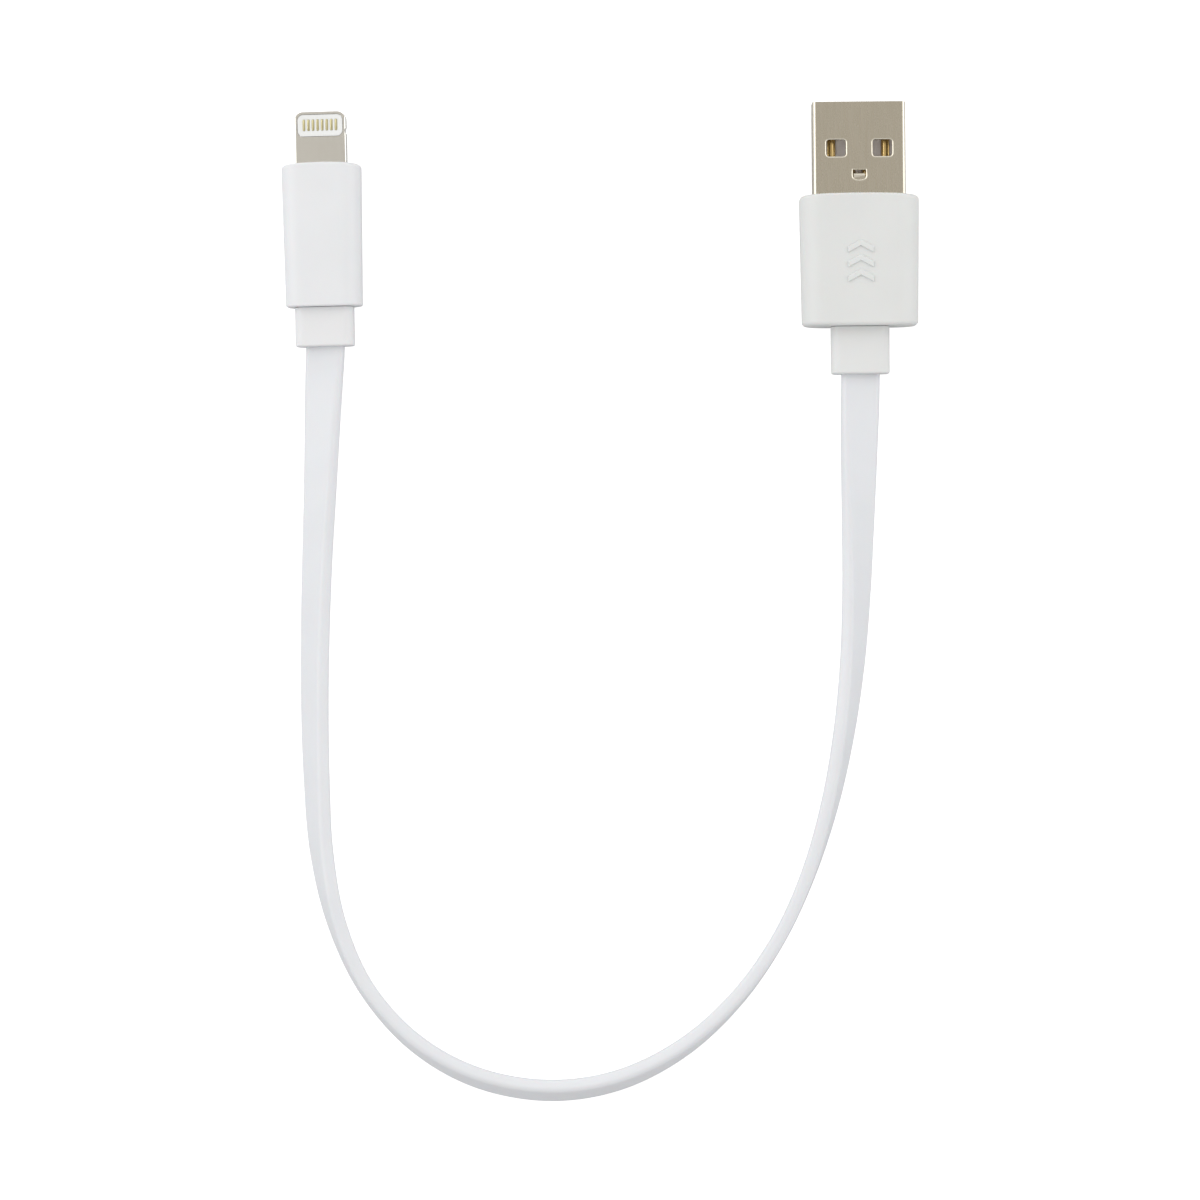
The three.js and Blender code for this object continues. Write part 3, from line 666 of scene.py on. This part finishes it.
softened("type_a_tongue_moulded", "type_a_tongue", TYPE_A, tongue_white, "insulator", 0.08)
for i, middle in enumerate((-3.5, -1, 1, 3.5), start=1):
    bm = merged_copy(f"type_a_contact_{i}", TYPE_A)
    crowned(bm, middle, 0.5, 0.17)
    piece(f"type_a_spring_{i}", settled(bm, TYPE_A), gold, "gold", [f"type_a_contact_{i}"])

# %% [markdown]
# ## The eight-pin tab
# The tab is one piece of metal with a window on each face. White insulator fills the windows, flush,
# and the gold contacts stand 0.04 mm proud of it. The tab's outer edges have the widest radius, because
# they guide it into the socket.

# %% Eight-pin tab
tab_steel = finish(
    "tab_steel", plated,
    {"Colour": tint(0.905, 0.895, 0.85), "Worn": tint(0.915, 0.907, 0.87), "Lines": (3200, 300, 3200),
     "Depth": 0.012, "Dull": 0.24}, Metallic=1.0)


def is_window_rim(edge):
    return all(abs(vert.co.x) < 2.9 and 3.4 < vert.co.y < 6.45 for vert in edge.verts)


bm = merged_copy("eight_pin_tab", EIGHT_PIN)
soften(bm, 0.16, 4, lambda edge: not is_window_rim(edge) and min(v.co.y for v in edge.verts) > 0.3)
soften(bm, 0.03, 2, is_window_rim, sharper_than=60)
piece("eight_pin_tab_milled", settled(bm, EIGHT_PIN), tab_steel, "tab", ["eight_pin_tab"])

# %% Eight-pin insulators and contacts
insulator = finish(
    "insulator_white", moulded,
    {"Colour": tint(0.79, 0.80, 0.79), "Shade": tint(0.76, 0.77, 0.76), "Grain": 8000, "Depth": 0.06,
     "Dull": 0.34}, IOR=1.52)
gold_pads = finish(
    "gold_pads", plated,
    {"Colour": tint(0.66, 0.60, 0.34), "Worn": tint(0.74, 0.69, 0.46), "Lines": (3000, 900, 3000),
     "Depth": 0.04, "Dull": 0.3}, Metallic=1.0)


def is_plate_rim(edge):
    """An outer edge of the insulator, away from the slots for the contacts."""
    return all(abs(vert.co.x) > 2.45 or abs(vert.co.y - 4.95) > 0.9 for vert in edge.verts)


for side in ("upper", "lower"):
    bm = merged_copy(f"eight_pin_{side}_plate", EIGHT_PIN, whole_faces=False)
    soften(bm, 0.04, 3, is_plate_rim)
    piece(f"eight_pin_{side}_insulator", settled(bm, EIGHT_PIN), insulator, "insulator",
          [f"eight_pin_{side}_plate"])
    for i in range(1, 9):
        softened(f"eight_pin_{side}_pad_{i}", f"eight_pin_{side}_contact_{i}", EIGHT_PIN, gold_pads, "gold",
                 0.03)

# %% [markdown]
# ## What the housings hide
# The moulds that grip the wires, the little board with its chip and capacitor, and the four wires only
# show when the plugs are taken apart. They still get their own finishes: a coarse, dull inner moulding,
# a green board, a black chip, a tan ceramic block, and the four insulation colours.

# %% Hidden pieces
HIDDEN = {
    "mould_grey": ("mould", moulded, tint(0.58, 0.59, 0.56), tint(0.52, 0.53, 0.5), 3000, 0.65,
                   ["type_a_inner_mould", "eight_pin_inner_mould"]),
    "board_green": ("board", moulded, tint(0.03, 0.16, 0.07), tint(0.02, 0.11, 0.05), 4000, 0.4,
                    ["eight_pin_board"]),
    "chip_black": ("chip", moulded, tint(0.02, 0.02, 0.022), tint(0.03, 0.03, 0.032), 6000, 0.55,
                   ["eight_pin_chip"]),
    "ceramic_tan": ("ceramic", moulded, tint(0.4, 0.29, 0.17), tint(0.35, 0.25, 0.14), 5000, 0.5,
                    ["eight_pin_capacitor"]),
}
for name, (slot, group, colour, shade, size, dull, nodes) in HIDDEN.items():
    hidden = finish(name, group, {"Colour": colour, "Shade": shade, "Grain": size, "Depth": 0.15, "Dull": dull})
    for node in nodes:
        place = TYPE_A if node.startswith("type_a") else EIGHT_PIN
        softened(f"{node}_finished", node, place, hidden, slot, 0.05)

# %% Wires
WIRES = {
    "wire_red": tint(0.42, 0.02, 0.015), "wire_white": tint(0.75, 0.75, 0.72),
    "wire_green": tint(0.03, 0.21, 0.05), "wire_black": tint(0.012, 0.012, 0.014)}
for name, colour in WIRES.items():
    darker = tint(*(0.8 * channel for channel in colour[:3]))
    sleeve = finish(f"{name}_insulation", moulded,
                    {"Colour": colour, "Shade": darker, "Grain": 4000, "Depth": 0.1, "Dull": 0.42})
    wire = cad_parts[name]
    if not wire.material_slots:
        wire.data.materials.append(None)
    wire.material_slots[0].link = "OBJECT"
    wire.material_slots[0].material = sleeve
    print(name, "insulated")

# %% [markdown]
# ## Floor
# A plain light table, level with the lowest point of the cable. Its glass is a pale grey and glows from
# below, so the cable's shadow on it stays faint. Only the camera sees the glow, or it would wash out the
# undersides. The table is wide enough that a low camera sees it behind the plugs.

# %% Floor
TABLE_GLOW = 0.75
TABLE_DROP = 0.06 * MM

bm = bmesh.new()
bmesh.ops.create_grid(bm, x_segments=1, y_segments=1, size=3)
bmesh.ops.translate(bm, verts=bm.verts, vec=(0, 0, cad_low.z - TABLE_DROP))
floor_mesh = bpy.data.meshes.new("floor")
bm.to_mesh(floor_mesh)
bm.free()
floor = bpy.data.objects.new("floor", floor_mesh)
scene.collection.objects.link(floor)
table_white = finish(
    "table_white", moulded,
    {"Colour": tint(0.58, 0.58, 0.58), "Shade": tint(0.57, 0.57, 0.57), "Grain": 900, "Depth": 0.02,
     "Dull": 0.8}, Emission_Color=tint(1, 1, 1))
tree = table_white.node_tree
seen = add(tree, "ShaderNodeLightPath").outputs["Is Camera Ray"]
tree.links.new(spread(tree, seen, 0, TABLE_GLOW), tree.nodes["Principled BSDF"].inputs["Emission Strength"])
floor_mesh.materials.append(table_white)

# %% [markdown]
# ## Light
# A light tent surrounds the table: white all round and above the horizon, greyer straight overhead,
# where the camera looks through its roof, and darker on the near side. The flat metal faces mirror the
# grey roof, and their rounded edges the white walls. Two large soft panels add a gentle direction.

# %% Light tent
scene.view_settings.view_transform = "Standard"
tent = bpy.data.worlds.new("light tent")
scene.world = tent
tent.use_nodes = True
tree = tent.node_tree
direction = add(tree, "ShaderNodeSeparateXYZ", {"Vector": add(tree, "ShaderNodeTexCoord").outputs["Generated"]})
roof = spread(tree, direction.outputs["Z"], 0, 1, 0.6, 0.99)
near_side = spread(tree, direction.outputs["Y"], 1, 0, -0.75, -0.1)
walls = mixed(tree, near_side, tint(1.12, 1.12, 1.13), tint(0.86, 0.86, 0.88))
inside = mixed(tree, roof, walls, tint(0.45, 0.42, 0.375))
tree.links.new(inside, tree.nodes["Background"].inputs["Color"])
tree.nodes["Background"].inputs["Strength"].default_value = 1.0


def panel(name, place, size, power):
    """A soft square light that faces the middle of the cable."""
    data = bpy.data.lights.new(name, "AREA")
    data.shape = "SQUARE"
    data.size = size
    data.energy = power
    lamp = bpy.data.objects.new(name, data)
    lamp.location = place
    lamp.rotation_euler = (Vector((0, AIM_Y, 0)) - lamp.location).to_track_quat("-Z", "Y").to_euler()
    scene.collection.objects.link(lamp)


panel("left_panel", Vector((-1.0, 0.3, 0.75)), 1.4, 6.5)
panel("right_panel", Vector((1.0, 0.3, 0.7)), 1.2, 4.2)
